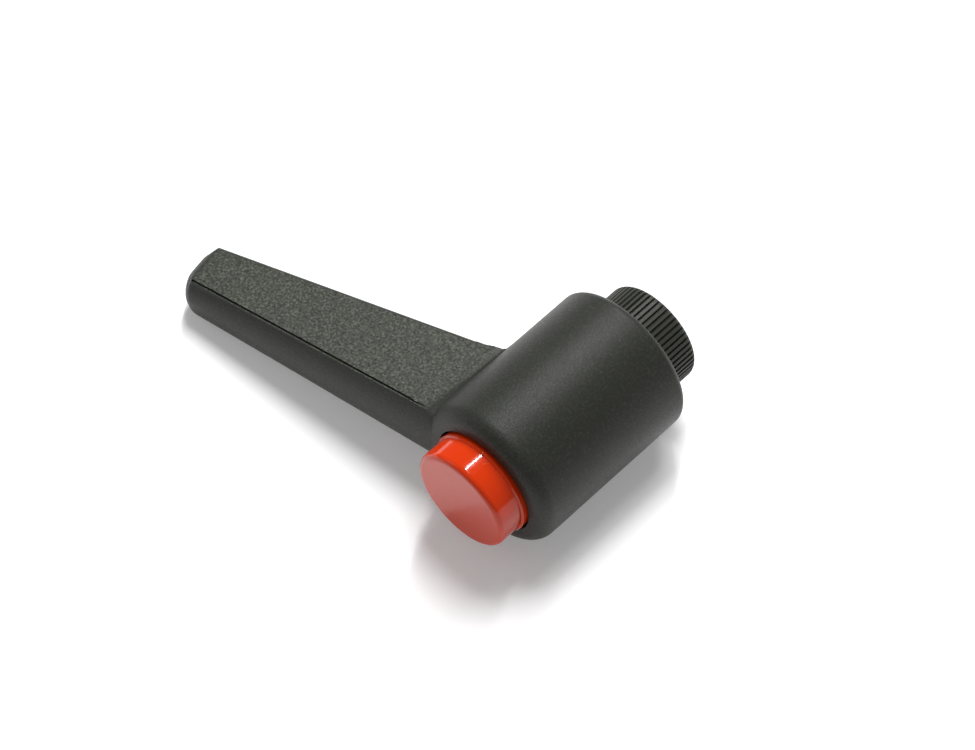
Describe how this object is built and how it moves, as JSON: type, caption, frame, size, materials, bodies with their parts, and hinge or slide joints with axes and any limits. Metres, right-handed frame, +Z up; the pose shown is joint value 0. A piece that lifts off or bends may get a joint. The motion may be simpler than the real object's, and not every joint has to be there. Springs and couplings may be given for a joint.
{
  "type": "adjustable clamping lever",
  "caption": "Adjustable clamping lever with a push button release, a serrated boss and a threaded bush, lying on its side.",
  "frame": {"origin": "centre of the stud hole's mouth, on the clamping axis", "axes": "+Y out of the stud hole's mouth along the clamping axis, +Z up as the lever lies on its side, the arm along -X"},
  "size_m": [0.0762, 0.0433, 0.025],
  "materials": {
    "grained_plastic": "glass-filled nylon, grained and matte",
    "button_plastic": "smooth glossy red-orange",
    "spring_steel": "drawn spring wire",
    "screw_steel": "zinc plated",
    "boss_plastic": "glass-filled nylon, moulded smooth with fine serrations",
    "bush_steel": "turned steel"
  },
  "bodies": {
    "core": {"serrated_boss": "boss_plastic", "threaded_bush": "bush_steel", "retaining_screw": "screw_steel", "push_button": "button_plastic"},
    "spring_pack": {"return_spring": "spring_steel"},
    "lever": {"lever": "grained_plastic"}
  },
  "joints": [
    {"name": "index_turn", "type": "hinge", "parent": "core", "child": "spring_pack", "pos_m": [0, 0, 0], "axis": [0, 1, 0], "continuous": true},
    {"name": "lever_lift", "type": "slide", "parent": "spring_pack", "child": "lever", "axis": [0, -1, 0], "range_m": [0, 0.005], "stiffness_N_per_m": 570, "springref_m": -0.008, "deforming": ["return_spring"]}
  ]
}
